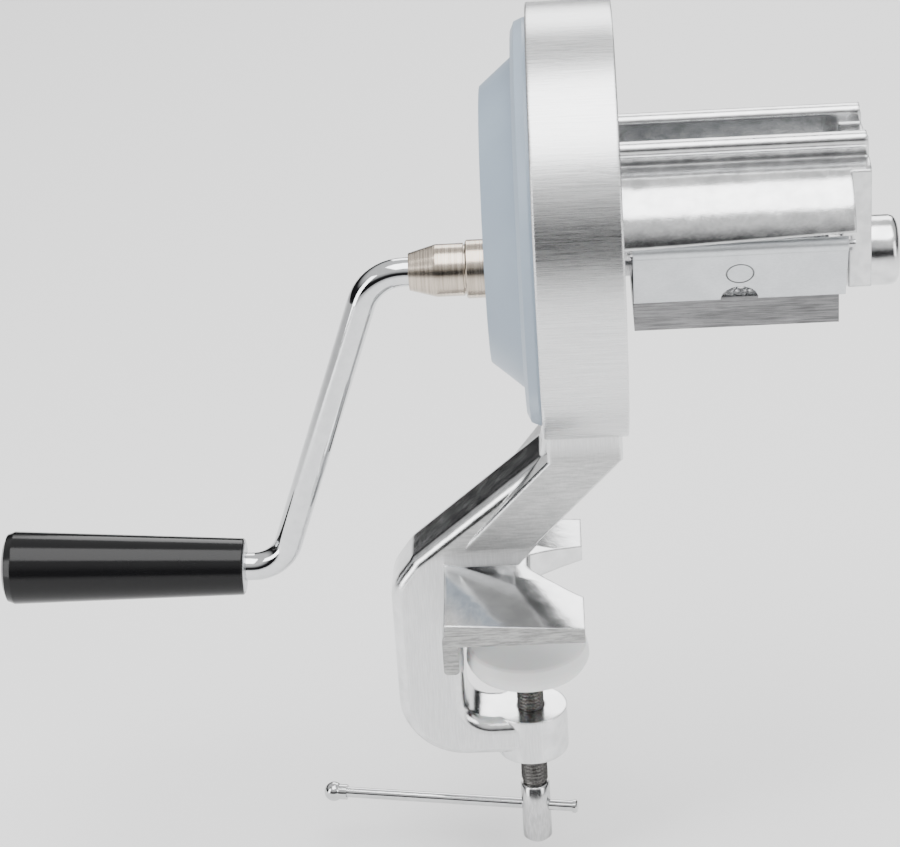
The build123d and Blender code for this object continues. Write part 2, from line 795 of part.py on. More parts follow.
# --- Discharge sleeve and its rivets ------------------------------------------------------------------
sleeve_outer = drum_room + sleeve_sheet
with BuildPart() as discharge_sleeve:
    section(
        sleeve_left,
        sleeve_right,
        [
            (-sleeve_outer, -sleeve_top),
            (-sleeve_outer, -sleeve_drop),
            (-sleeve_outer + sleeve_sheet, -sleeve_drop),
            (-sleeve_outer + sleeve_sheet, -sleeve_top),
        ],
    )
    section(
        sleeve_left,
        sleeve_right,
        [
            (back_wall, sleeve_back_top),
            (back_wall, -sleeve_drop),
            (back_wall + sleeve_sheet, -sleeve_drop),
            (back_wall + sleeve_sheet, sleeve_back_top),
        ],
    )
    for plate_left in (sleeve_left, sleeve_right - sleeve_sheet):
        section(
            plate_left,
            plate_left + sleeve_sheet,
            [
                (-sleeve_outer, -sleeve_end_top),
                (-sleeve_outer, -sleeve_drop),
                (back_wall + sleeve_sheet, -sleeve_drop),
                (back_wall + sleeve_sheet, -sleeve_end_top),
            ],
        )
    with BuildSketch(rivet_plane):
        with Locations(*rivet_places):
            Circle(rivet_radius)
    extrude(amount=-(back_wall - drum_room) - sleeve_sheet - 1, both=True, mode=Mode.SUBTRACT)
keep(discharge_sleeve.part, "discharge_sleeve")

with BuildPart() as sleeve_rivets:
    with BuildSketch(rivet_plane):
        with Locations(*rivet_places):
            Circle(rivet_radius)
    extrude(amount=-(back_wall - drum_room) - sleeve_sheet)
    with BuildSketch(rivet_plane):
        with Locations(*rivet_places):
            Circle(rivet_head_radius)
    extrude(amount=rivet_head)
    fillet(sleeve_rivets.faces().sort_by(Axis.Y)[-len(rivet_places) :].edges(), 0.6)
keep(sleeve_rivets.part, "sleeve_rivets")

# --- Clamp screw, pad and tommy bar -------------------------------------------------------------------
with BuildPart() as clamp_screw:
    turn(
        [
            (0, tip_top),
            (tip_radius - 0.6, tip_top),
            (tip_radius, tip_top - 0.6),
            (tip_radius, clip_low + clip_sheet),
            (clip_groove_radius, clip_low + clip_sheet),
            (clip_groove_radius, clip_low),
            (tip_radius, clip_low),
            (tip_radius, pad_hub_bottom),
            (thread_radius, pad_hub_bottom),
            (thread_radius, post_top + 1.0),
            (post_radius - post_round, post_top + 1.0),
            (post_radius, post_top),
            (post_radius, post_bottom + post_round),
            (post_radius - post_round, post_bottom),
            (0, post_bottom),
        ],
        screw_axis,
    )
    with BuildSketch(bar_plane):
        Circle(bar_radius + running_clearance)
    extrude(amount=post_radius + 1, both=True, mode=Mode.SUBTRACT)
keep(clamp_screw.part, "clamp_screw")

with BuildPart() as clamp_pad:
    turn(
        [
            (tip_radius + running_clearance, pad_hub_bottom),
            (pad_hub_radius, pad_hub_bottom),
            (pad_hub_radius, pad_bottom),
            (pad_foot_radius, pad_bottom),
            (pad_radius - 0.5, pad_belt - 1.4),
            (pad_radius, pad_belt),
            (pad_radius - 0.1, pad_belt + 2.0),
            (pad_top_radius, pad_top - 0.8),
            (pad_top_radius - 0.8, pad_top),
            (0, pad_top),
            (0, tip_top + free_clearance),
            (tip_radius + running_clearance, tip_top + free_clearance),
            (tip_radius + running_clearance, clip_low + clip_sheet + free_clearance / 2),
            (clip_radius + free_clearance, clip_low + clip_sheet + free_clearance / 2),
            (clip_radius + free_clearance, clip_low - free_clearance / 2),
            (tip_radius + running_clearance, clip_low - free_clearance / 2),
        ],
        screw_axis,
    )
keep(clamp_pad.part, "clamp_pad")

with BuildPart() as pad_clip:
    turn(
        [
            (clip_groove_radius, clip_low),
            (clip_radius, clip_low),
            (clip_radius, clip_low + clip_sheet),
            (clip_groove_radius, clip_low + clip_sheet),
        ],
        screw_axis,
    )
keep(pad_clip.part, "pad_clip")

with BuildPart() as tommy_bar:
    with BuildSketch(bar_plane.offset(-bar_right)):
        Circle(bar_radius)
    extrude(amount=bar_right + bar_left)
    with BuildSketch(bar_plane.offset(-bar_right)):
        Circle(bar_stake_radius)
    extrude(amount=bar_stake)
    chamfer(tommy_bar.faces().sort_by(Axis(bar_origin, bar_direction))[0].edges(), 0.5)
keep(tommy_bar.part, "tommy_bar")

ball_plane = Plane(origin=bar_origin, x_dir=bar_direction, z_dir=(0, 0, 1))
ball_axis = Axis(bar_origin, bar_direction)
collar_start = bar_left - bar_ball_radius - bar_collar
ball_start = bar_left - sqrt(bar_ball_radius**2 - bar_collar_radius**2)
with BuildPart() as tommy_ball:
    with BuildSketch(ball_plane) as ball_outline:
        with BuildLine():
            Polyline(
                (bar_left, bar_radius),
                (collar_start, bar_radius),
                (collar_start, bar_collar_radius),
                (ball_start, bar_collar_radius),
            )
            ThreePointArc(
                (ball_start, bar_collar_radius),
                (bar_left - bar_ball_radius * 0.5, bar_ball_radius * sqrt(3) / 2),
                (bar_left, bar_ball_radius),
            )
            ThreePointArc(
                (bar_left, bar_ball_radius),
                (bar_left + bar_ball_radius * sqrt(0.5), bar_ball_radius * sqrt(0.5)),
                (bar_left + bar_ball_radius, 0),
            )
            Polyline((bar_left + bar_ball_radius, 0), (bar_left, 0), (bar_left, bar_radius))
        make_face()
    revolve(ball_outline.sketch, axis=ball_axis)
keep(tommy_ball.part, "tommy_ball")
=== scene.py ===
# %% [markdown]
# # A rotary cheese grater that clamps to a table
#
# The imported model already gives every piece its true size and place, in metres. This script loads it as a
# fixed frame, sets up a small studio, gives each piece its finish, and replaces a few plain solids with
# finer pieces: the grating drum, the screw's thread and the flap's spring. The frame is loaded first,
# because every position below is read from it.

import json
from math import cos, pi, radians, sin

import bmesh
import bpy
from mathutils import Euler, Matrix, Vector


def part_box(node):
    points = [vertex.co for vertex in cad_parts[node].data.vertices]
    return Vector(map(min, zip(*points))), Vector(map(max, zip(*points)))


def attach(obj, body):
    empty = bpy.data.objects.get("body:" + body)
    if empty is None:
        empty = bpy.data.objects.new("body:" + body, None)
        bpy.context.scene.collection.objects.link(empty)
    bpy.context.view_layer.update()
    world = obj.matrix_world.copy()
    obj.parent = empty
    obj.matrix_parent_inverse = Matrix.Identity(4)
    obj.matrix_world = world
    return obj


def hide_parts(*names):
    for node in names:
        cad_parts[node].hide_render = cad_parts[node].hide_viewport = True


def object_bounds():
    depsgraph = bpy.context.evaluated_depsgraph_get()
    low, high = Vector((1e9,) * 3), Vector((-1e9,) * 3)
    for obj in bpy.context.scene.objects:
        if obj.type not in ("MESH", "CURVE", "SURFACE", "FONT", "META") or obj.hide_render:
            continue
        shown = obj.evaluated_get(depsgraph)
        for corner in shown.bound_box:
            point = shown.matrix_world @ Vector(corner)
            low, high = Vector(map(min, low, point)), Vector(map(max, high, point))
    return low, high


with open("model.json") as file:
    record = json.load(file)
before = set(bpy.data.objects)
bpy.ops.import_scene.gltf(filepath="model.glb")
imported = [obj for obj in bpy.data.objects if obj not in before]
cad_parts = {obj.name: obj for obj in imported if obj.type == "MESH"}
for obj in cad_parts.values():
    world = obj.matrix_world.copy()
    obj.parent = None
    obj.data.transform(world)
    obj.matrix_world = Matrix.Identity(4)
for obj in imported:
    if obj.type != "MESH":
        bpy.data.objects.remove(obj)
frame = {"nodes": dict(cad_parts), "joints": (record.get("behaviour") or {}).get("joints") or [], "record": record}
cad_low, cad_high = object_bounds()
MM = 0.001
print("frame size in mm", [round((high - low) / MM, 1) for low, high in zip(cad_low, cad_high)])

# %% [markdown]
# ## Camera
#
# A long lens keeps the ring and the crank nearly parallel, as in a catalogue picture. The camera could be
# placed by a matrix, but a turn, a tilt and a roll round one aim point say plainly where it stands.

# %% Camera
AIM = Vector((-22.6, 0.0, 67.2)) * MM
DISTANCE = 978 * MM
LENS = 112  # in mm, on a sensor 36 mm wide
TURN, TILT, ROLL = radians(3.0), radians(26.5), radians(-3.9)

camera_data = bpy.data.cameras.new("studio camera")
camera_data.lens = LENS
camera_data.sensor_width = 36
camera_data.clip_start = 0.05
camera = bpy.data.objects.new("studio camera", camera_data)
bpy.context.scene.collection.objects.link(camera)
aiming = (Euler((radians(90) - TILT, 0, TURN)).to_matrix() @ Matrix.Rotation(ROLL, 3, "Z")).to_4x4()
camera.matrix_world = Matrix.Translation(AIM) @ aiming @ Matrix.Translation((0, 0, DISTANCE))
bpy.context.scene.camera = camera
print("camera at", [round(v, 3) for v in camera.matrix_world.translation])

# %% [markdown]
# ## Wires: shader and geometry maths as Python
#
# Node trees get long when every sum is a node made by hand. One small class wraps a socket, so `a * 0.5`
# adds a Math node, and one method makes any other node from its type, its settings and its sockets.


# %% The Wire class
class Wire:
    """A node socket with arithmetic, and the means to add any other node to its tree."""

    def __init__(self, tree, socket=None):
        self.tree = tree
        self.socket = socket

    def add(self, kind, settings=None, sockets=None, out=0):
        """A new node: its settings first, then the values or links of its sockets."""
        made = self.tree.nodes.new(kind)
        for key, value in (settings or {}).items():
            if key == "stops":
                while len(made.color_ramp.elements) < len(value):
                    made.color_ramp.elements.new(0.5)
                for stop, (place, colour) in zip(made.color_ramp.elements, value):
                    stop.position = place
                    stop.color = colour
            else:
                setattr(made, key, value)
        for key, value in (sockets or {}).items():
            if isinstance(value, Wire):
                self.tree.links.new(value.socket, made.inputs[key])
            else:
                made.inputs[key].default_value = value
        return Wire(self.tree, made.outputs[out])

    def out(self, name):
        """Another output of the same node."""
        return Wire(self.tree, self.socket.node.outputs[name])

    def maths(self, operation, *values):
        """A Math node over this socket and the other values."""
        return self.add("ShaderNodeMath", {"operation": operation}, dict(enumerate((self, *values))))

    def maths_vector(self, operation, other):
        """A Vector Math node that gives a number, such as a distance."""
        return self.add("ShaderNodeVectorMath", {"operation": operation}, {0: self, 1: other}, out="Value")

    def __add__(self, other):
        return self.maths("ADD", other)

    __radd__ = __add__

    def __sub__(self, other):
        return self.maths("SUBTRACT", other)

    def __rsub__(self, other):
        return self.maths("MULTIPLY", -1.0) + other

    def __mul__(self, other):
        return self.maths("MULTIPLY", other)

    __rmul__ = __mul__

    def __truediv__(self, other):
        return self.maths("DIVIDE", other)

    def between(self, low, high):
        """0 below low, 1 above high, and a smooth step from one to the other."""
        return self.add(
            "ShaderNodeMapRange",
            {"interpolation_type": "SMOOTHSTEP"},
            {"Value": self, "From Min": low, "From Max": high, "To Min": 0.0, "To Max": 1.0},
        )


print("wires ready, with + - * / and the other maths as methods")

# %% [markdown]
# ## Finishes
#
# All metals here share one recipe: a metallic surface whose roughness wanders a little, with a very fine
# bump. What tells them apart is the direction of the marks. A belt leaves long scratches, a lathe leaves
# rings, and a cast skin is soft and lumpy. So one function makes the surface and is handed the marks.


# %% Blank material and shared patterns
def blank(name):
    """A material with a surface shader, and a Wire to build on."""
    material = bpy.data.materials.new(name)
    material.use_nodes = True
    tree = material.node_tree
    return material, tree.nodes["Principled BSDF"], Wire(tree)


def place(wire, stretch=(1.0, 1.0, 1.0)):
    """The piece's own coordinates in millimetres, stretched per axis."""
    coordinates = wire.add("ShaderNodeTexCoord", out="Object")
    scale = tuple(s / MM for s in stretch)
    return wire.add("ShaderNodeVectorMath", {"operation": "MULTIPLY"}, {0: coordinates, 1: scale})


def noise(wire, size, stretch=(1.0, 1.0, 1.0), detail=3.0, roughness=0.55):
    """Noise whose lumps measure about `size` millimetres before the stretch."""
    return wire.add(
        "ShaderNodeTexNoise",
        None,
        {"Vector": place(wire, stretch), "Scale": 1.0 / size, "Detail": detail, "Roughness": roughness},
    )


def blend_colours(wire, factor, dark, light):
    """One colour turning into another along a factor. Either colour may itself be a blend."""
    ends = [colour if isinstance(colour, Wire) else (*colour, 1.0) for colour in (dark, light)]
    return wire.add("ShaderNodeMix", {"data_type": "RGBA"}, {0: factor, 6: ends[0], 7: ends[1]}, out=2)


def bump(wire, height, depth, edge=0.0):
    """A bump of `depth` millimetres, over edges that are rounded by `edge` millimetres."""
    sockets = {"Height": height, "Distance": depth * MM, "Strength": 1.0}
    if edge:
        sockets["Normal"] = wire.add("ShaderNodeBevel", {"samples": 6}, {"Radius": edge * MM})
    return wire.add("ShaderNodeBump", None, sockets)


def connect(wire, shader, **sockets):
    """Link or set the surface shader's own sockets, named with underscores for spaces."""
    for key, value in sockets.items():
        target = shader.inputs[key.replace("_", " ")]
        if isinstance(value, Wire):
            wire.tree.links.new(value.socket, target)
        else:
            target.default_value = value


print("patterns ready")


# %% Metals
def metal(name, dark, light, rough, marks, mark_size, depth, edge=0.0, wander=0.06, smudge=14.0):
    """A bare metal. `marks` stretches the scratches: a small number makes them long along that axis."""
    material, shader, wire = blank(name)
    cloud = noise(wire, smudge, detail=2.0)
    scratch = noise(wire, mark_size, marks, detail=4.0, roughness=0.65)
    roughness = rough + (cloud - 0.5) * wander * 2 + (scratch - 0.5) * wander * 1.5
    connect(
        wire,
        shader,
        Metallic=1.0,
        Base_Color=blend_colours(wire, (scratch * 0.7 + cloud * 0.3).between(0.3, 0.7), dark, light),
        Roughness=roughness,
        Normal=bump(wire, scratch, depth, edge),
    )
    return material


def turned_metal(name, dark, light, rough, ring_pitch, depth, axis):
    """A lathe-turned metal: fine rings that change only along the turning axis."""
    material, shader, wire = blank(name)
    stretch = tuple(1.0 if place_axis == axis else 0.02 for place_axis in range(3))
    rings = noise(wire, ring_pitch, stretch, detail=5.0, roughness=0.7)
    cloud = noise(wire, 6.0)
    connect(
        wire,
        shader,
        Metallic=1.0,
        Base_Color=blend_colours(wire, rings.between(0.3, 0.7), dark, light),
        Roughness=rough + (rings - 0.5) * 0.18 + (cloud - 0.5) * 0.08,
        Normal=bump(wire, rings, depth, 0.25),
    )
    return material


def head_finish():
    """The head casting: brushed along its length round the ring, polished cast skin on the hopper."""
    material, shader, wire = blank("head casting, brushed ring and polished hopper")
    brush = noise(wire, 0.35, (0.02, 1.0, 1.0), detail=5.0, roughness=0.7)
    skin = noise(wire, 5.0, detail=3.0)
    grain = noise(wire, 0.5, detail=2.0)
    along = wire.add("ShaderNodeSeparateXYZ", None, {"Vector": place(wire)})
    hopper = along.between(ring_right - 0.4, ring_right + 0.4)
    ring = 1 - hopper
    marks = brush * ring + (skin * 0.8 + grain * 0.2) * hopper
    connect(
        wire,
        shader,
        Metallic=1.0,
        Base_Color=blend_colours(wire, marks.between(0.3, 0.7), (0.60, 0.605, 0.61), (0.78, 0.785, 0.79)),
        Roughness=(brush * 0.24 + 0.15) * ring + (skin * 0.10 + 0.13) * hopper,
        Normal=bump(wire, brush * ring * 0.035 + skin * hopper * 0.10 + grain * hopper * 0.006, 1.0, 1.3),
    )
    return material


def frame_finish():
    """The clamp frame: polished arm and edges, flat sides left matt from the belt, and painted shade darkening the
    jaw's flat sides and the arm's sides.
    """
    material, shader, wire = blank("clamp frame, polished with matt sides")
    facing = wire.add("ShaderNodeTexCoord", out="Normal")
    sideways = wire.add("ShaderNodeSeparateXYZ", None, {"Vector": facing}).out("Y").maths("ABSOLUTE")
    spot = wire.add("ShaderNodeSeparateXYZ", None, {"Vector": place(wire)})
    up = spot.out("Z")
    outward = spot.out("Y").maths("ABSOLUTE")
    belt = noise(wire, 0.4, (1.0, 1.0, 0.05), detail=5.0, roughness=0.7)
    saw = noise(wire, 0.8, (0.12, 1.0, 1.0), detail=5.0, roughness=0.75)
    skin = noise(wire, 6.0, detail=3.0)
    matt = sideways.between(0.93, 0.99)
    # The jaw's flat outer sides: real saw marks, and a dark colour that is painted shade standing in for a dark
    # reflection.
    jaw_side_sawn_and_shaded = matt * outward.between(JAW_SIDE - 1.0, JAW_SIDE - 0.5)
    along_arm = up.between(ARM_FOOT, ARM_FOOT + 6.0) * (1 - up.between(ARM_TOP - 8, ARM_TOP))
    # The arm's sideways faces get a darker colour as painted shade, standing in for a dark reflection.
    arm_side_painted_shade = sideways.between(0.80, 0.90) * along_arm
    matt_marks = belt * (1 - jaw_side_sawn_and_shaded) + saw * jaw_side_sawn_and_shaded
    marks = matt_marks * matt + skin * (1 - matt)
    roughness = skin * 0.10 + 0.13
    connect(
        wire,
        shader,
        Metallic=1.0,
        # The dark blend on the jaw's flat sides and the arm's sideways faces is painted shade.
        Base_Color=blend_colours(
            wire,
            jaw_side_sawn_and_shaded * 0.8 + arm_side_painted_shade * 0.55,
            blend_colours(wire, marks.between(0.3, 0.7), (0.64, 0.645, 0.65), (0.78, 0.785, 0.79)),
            blend_colours(wire, saw.between(0.35, 0.65), (0.13, 0.13, 0.125), (0.40, 0.40, 0.39)),
        ),
        Roughness=roughness * (1 - matt) + (matt_marks * 0.22 + 0.34) * matt,
        Normal=bump(
            wire,
            skin * (1 - matt) * 0.09 + belt * matt * 0.02 + saw * jaw_side_sawn_and_shaded * 0.25,
            1.0,
            1.2,
        ),
    )
    return material


def screw_finish():
    """The clamp screw: dark on the thread, bright on the plain post."""
    material, shader, wire = blank("clamp screw, dark thread and bright post")
    up = wire.add("ShaderNodeSeparateXYZ", None, {"Vector": place(wire)}).out("Z")
    thread = up.between(THREAD_FOOT - 0.4, THREAD_FOOT + 0.4)
    marks = noise(wire, 0.5, (1.0, 1.0, 0.15), detail=4.0)
    bright = blend_colours(wire, marks.between(0.3, 0.7), (0.44, 0.44, 0.445), (0.60, 0.60, 0.605))
    # The thread is given a darker colour than the plain post.
    dark_thread_colour = blend_colours(wire, marks.between(0.3, 0.7), (0.075, 0.072, 0.068), (0.22, 0.215, 0.21))
    connect(
        wire,
        shader,
        Metallic=1.0,
        Base_Color=blend_colours(wire, thread, bright, dark_thread_colour),
        Roughness=marks * 0.12 + 0.14 + thread * 0.16,
        Normal=bump(wire, marks, 0.006, 0.3),
    )
    return material


def flap_finish():
    """The flap: pale satin casting, with painted shade in the groove of its plain round mark."""
    material, shader, wire = blank("flap, pale satin casting")
    cloud = noise(wire, 12.0, detail=2.0)
    grain = noise(wire, 0.5, (0.4, 1.0, 1.0), detail=4.0)
    from_mark = place(wire).maths_vector("DISTANCE", tuple(MARK_CENTRE))
    # A dark line painted along the round mark's groove: painted shade in the groove.
    groove_shade_line = 1 - (from_mark - MARK_RADIUS).maths("ABSOLUTE").between(0.12, 0.42)
    mottle = (cloud * 0.5 + grain * 0.5).between(0.35, 0.65)
    skin = blend_colours(wire, mottle, (0.56, 0.58, 0.60), (0.66, 0.68, 0.70))
    connect(
        wire,
        shader,
        Metallic=0.85,
        Base_Color=blend_colours(wire, groove_shade_line * 0.8, skin, (0.10, 0.10, 0.10)),
        Roughness=grain * 0.10 + 0.38 + groove_shade_line * 0.2,
        Normal=bump(wire, grain, 0.006, 0.5),
    )
    return material


# %% [markdown]
# ## Plastics
#
# The cover, the grip and the pad are plastics. A plastic isn't a flat colour: it has a faint mottling and
# an orange-peel skin, and a moulded grip is glossier than the cover. The pad also lets a little light in.


# %% Plastics
def plastic(name, colour, rough, peel_size, peel_depth, edge=0.5, wander=0.05, **fixed):
    """A moulded plastic with a faint orange peel."""
    material, shader, wire = blank(name)
    peel = noise(wire, peel_size, detail=2.0)
    cloud = noise(wire, 18.0, detail=2.0)
    darker = tuple(channel * 0.94 for channel in colour)
    connect(
        wire,
        shader,
        Base_Color=blend_colours(wire, cloud.between(0.25, 0.75), darker, colour),
        Roughness=rough + (cloud - 0.5) * wander * 2,
        Normal=bump(wire, peel, peel_depth, edge),
        **fixed,
    )
    return material


print("plastics ready")

# %% [markdown]
# ## Every piece gets its finish
#
# The record lists each piece's material slot. A table from slot to finish paints all the frame's own
# pieces in one loop, and the finer pieces made later look their finish up in the same table.

# %% Finishes by slot
ALONG_CRANK = 0  # the axis that the crank's pieces are turned about
EVEN = (1, 1, 1)  # marks with no direction
SLEEVE_GAP = 3.3  # from the ring's right face to the sleeve
ring_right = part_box("discharge_sleeve")[0].x / MM - SLEEVE_GAP
JAW_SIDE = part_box("clamp_frame")[1].y / MM
ARM_FOOT, ARM_TOP = 18.0, 68.0
THREAD_FOOT = -82.8  # where the screw's thread ends above its plain post
FLAP_LEAN = radians(25.0)
MARK_DOWN = 11.0  # from the flap's pin to the middle of its round mark, down the flap
MARK_RADIUS = 4.45
FLAP_HALF_SHEET = 1.25
flap_low, flap_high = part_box("front_flap")
flap_pin = next(joint for joint in frame["joints"] if joint["name"] == "flap_swing")["pos_m"]
MARK_CENTRE = (
    (flap_low.x + flap_high.x) / 2 / MM,
    flap_pin[1] / MM + MARK_DOWN * sin(FLAP_LEAN) - FLAP_HALF_SHEET * cos(FLAP_LEAN),
    flap_pin[2] / MM - MARK_DOWN * cos(FLAP_LEAN) - FLAP_HALF_SHEET * sin(FLAP_LEAN),
)

finish = {
    "cast_aluminium": head_finish(),
    "frame_aluminium": frame_finish(),
    "cover_plastic": plastic("cover, blue-grey satin plastic", (0.285, 0.35, 0.425), 0.36, 0.7, 0.012),
    "bearing_bronze": turned_metal(
        "bearing bronze", (0.48, 0.33, 0.16), (0.62, 0.45, 0.24), 0.38, 0.3, 0.004, ALONG_CRANK
    ),
    "shaft_steel": turned_metal(
        "ground shaft steel", (0.50, 0.50, 0.51), (0.64, 0.64, 0.65), 0.26, 0.25, 0.003, ALONG_CRANK
    ),
    "drum_steel": metal(
        "drum sheet", (0.62, 0.63, 0.64), (0.80, 0.81, 0.82), 0.26, (0.1, 1, 1), 0.3, 0.006
    ),
    "hub_aluminium": metal(
        "turned hub", (0.60, 0.61, 0.62), (0.76, 0.77, 0.78), 0.34, (1, 0.2, 0.2), 0.4, 0.01, 0.3
    ),
    "collar_nickel": turned_metal(
        "warm turned nickel", (0.38, 0.325, 0.265), (0.64, 0.56, 0.47), 0.22, 0.55, 0.010, ALONG_CRANK
    ),
    "rod_chrome": metal(
        "chromed rod", (0.60, 0.61, 0.62), (0.68, 0.69, 0.70), 0.06, EVEN, 3.0, 0.004, wander=0.02
    ),
    "grip_black": plastic(
        "grip, gloss black",
        (0.006, 0.006, 0.0065),
        0.14,
        2.5,
        0.010,
        edge=0.6,
        wander=0.03,
        Specular_IOR_Level=0.22,
    ),
    "washer_aluminium": turned_metal(
        "grip washer", (0.52, 0.53, 0.54), (0.68, 0.69, 0.70), 0.36, 0.4, 0.006, ALONG_CRANK
    ),
    "plug_black": plastic("grip end plug", (0.014, 0.014, 0.015), 0.30, 0.8, 0.01, 0.3),
    "flap_grey": flap_finish(),
    "spring_steel": metal(
        "spring steel", (0.52, 0.52, 0.53), (0.66, 0.66, 0.67), 0.24, EVEN, 0.4, 0.004
    ),
    # The sleeve's very dark colour is painted shade for the sheet lying under the flap; its brushed marks are its
    # own.
    "sleeve_steel": metal(
        "brushed sleeve sheet",
        (0.10, 0.10, 0.102),
        (0.27, 0.27, 0.275),
        0.26,
        (0.04, 1, 1),
        0.45,
        0.016,
        edge=0.3,
        wander=0.08,
    ),
    "rivet_aluminium": metal(
        "rivets", (0.66, 0.67, 0.68), (0.80, 0.81, 0.82), 0.28, EVEN, 0.6, 0.02, 0.3
    ),
    "screw_steel": screw_finish(),
    "pad_white": plastic(
        "pad, milky white",
        (0.80, 0.815, 0.81),
        0.34,
        0.9,
        0.010,
        edge=0.6,
        wander=0.04,
        Subsurface_Weight=0.25,
        Subsurface_Scale=0.004,
    ),
    "bar_steel": metal(
        "polished bar", (0.46, 0.465, 0.47), (0.64, 0.645, 0.65), 0.12, (0.1, 1, 1), 0.5, 0.005, 0.2, 0.04
    ),
}
slot_of = {entry["node"]: entry["material_slot"] for entry in frame["record"]["subparts"]}
for node_name, piece in frame["nodes"].items():
    piece.data.materials.clear()
    piece.data.materials.append(finish[slot_of[node_name]])
print(len(finish), "finishes on", len(frame["nodes"]), "frame pieces")

# %% [markdown]
# ## A place for made pieces
#
# A Geometry Nodes tree is a recipe with named sizes. The modifier that runs it sits on a carrier object,
# and its result is turned into a plain mesh at once, because the finished model holds only meshes.


# %% Growing a mesh from a tree
def new_tree(name, sizes):
    """An empty recipe with named number inputs, one geometry input and one geometry output."""
    tree = bpy.data.node_groups.new(name, "GeometryNodeTree")
    tree.interface.new_socket("Shape", in_out="INPUT", socket_type="NodeSocketGeometry")
    for label, value in sizes.items():
        kind = "NodeSocketInt" if isinstance(value, int) else "NodeSocketFloat"
        tree.interface.new_socket(label, in_out="INPUT", socket_type=kind).default_value = value
    tree.interface.new_socket("Shape", in_out="OUTPUT", socket_type="NodeSocketGeometry")
    start = tree.nodes.new("NodeGroupInput")
    return tree, Wire(tree, start.outputs["Shape"])


def close_tree(shape, material):
    """The recipe's last steps: plain geometry, its finish, and the way out."""
    real = shape.add("GeometryNodeRealizeInstances", None, {"Geometry": shape})
    painted = real.add("GeometryNodeSetMaterial", None, {"Geometry": real, "Material": material})
    end = shape.tree.nodes.new("NodeGroupOutput")
    shape.tree.links.new(painted.socket, end.inputs["Shape"])


def grow(name, tree, carrier_mesh, sizes, slot_name, body):
    """Run a recipe on a carrier mesh, keep the plain mesh, and put it on its body."""
    piece = bpy.data.objects.new(name, carrier_mesh)
    bpy.context.scene.collection.objects.link(piece)
    modifier = piece.modifiers.new(name, "NODES")
    modifier.node_group = tree
    for item in tree.interface.items_tree:
        if item.in_out == "INPUT" and item.name in sizes:
            modifier[item.identifier] = sizes[item.name]
    bpy.context.view_layer.update()
    evaluated = piece.evaluated_get(bpy.context.evaluated_depsgraph_get())
    grown = bpy.data.meshes.new_from_object(evaluated)
    piece.modifiers.clear()
    piece.data = grown
    grown.name = name
    grown.materials.clear()
    grown.materials.append(finish[slot_name])
    finish_piece(piece, body)
    return piece


def finish_piece(piece, body):
    """Smooth a made mesh up to its sharp edges, and put it on its body."""
    piece.data.polygons.foreach_set("use_smooth", [True] * len(piece.data.polygons))
    piece.data.set_sharp_from_angle(angle=radians(35))
    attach(piece, body)
    print(piece.name, len(piece.data.polygons), "faces, on", body)


print("growing ready")

# %% [markdown]
# ## The grating drum
#
# The drum is a sheet punched with hundreds of small mouths, each with a raised cutting lip. Cutting the
# holes with Booleans would be slow, so one flat cell with a hole and a lip is repeated over a grid, and
# the grid is rolled into a tube. Neighbouring cells share their borders, so merging points closes it.


# %% One punched cell
def drum_cell(width, length, lip, sheet):
    """A square of sheet with a round hole whose front edge stands up as a lip."""
    mesh = bpy.data.meshes.new("punched cell")
    work = bmesh.new()
    corners = 16
    rings = {}
    for level, drop in (("top", 0.0), ("under", -sheet)):
        border, hole = [], []
        for step in range(corners):
            angle = 2 * pi * step / corners + pi / 4
            reach = 1 / max(abs(cos(angle)), abs(sin(angle)))
            border.append(
                work.verts.new((cos(angle) * reach * length / 2, sin(angle) * reach * width / 2, drop))
            )
            rise = lip * max(0.0, sin(angle)) ** 2
            hole.append(
                work.verts.new((cos(angle) * length * 0.27, sin(angle) * width * 0.24, drop + rise))
            )
        rings[level] = (border, hole)
    for level, (border, hole) in rings.items():
        for step in range(corners):
            after = (step + 1) % corners
            quad = (border[step], border[after], hole[after], hole[step])
            work.faces.new(quad if level == "top" else quad[::-1])
    top_hole, under_hole = rings["top"][1], rings["under"][1]
    for step in range(corners):
        after = (step + 1) % corners
        work.faces.new((top_hole[step], top_hole[after], under_hole[after], under_hole[step]))
    work.to_mesh(mesh)
    work.free()
    return mesh


drum_low, drum_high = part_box("grating_drum")
drum_radius = (drum_high.y - drum_low.y) / 2
drum_length = drum_high.x - drum_low.x
crank_line = (drum_low.z + drum_high.z) / 2
CELLS_ROUND, CELLS_ALONG = 30, 15
LIP_HEIGHT, SHEET = 1.2 * MM, 0.9 * MM
cell = drum_cell(2 * pi * drum_radius / CELLS_ROUND, drum_length / CELLS_ALONG, LIP_HEIGHT, SHEET)
print("cell corners", len(cell.vertices))

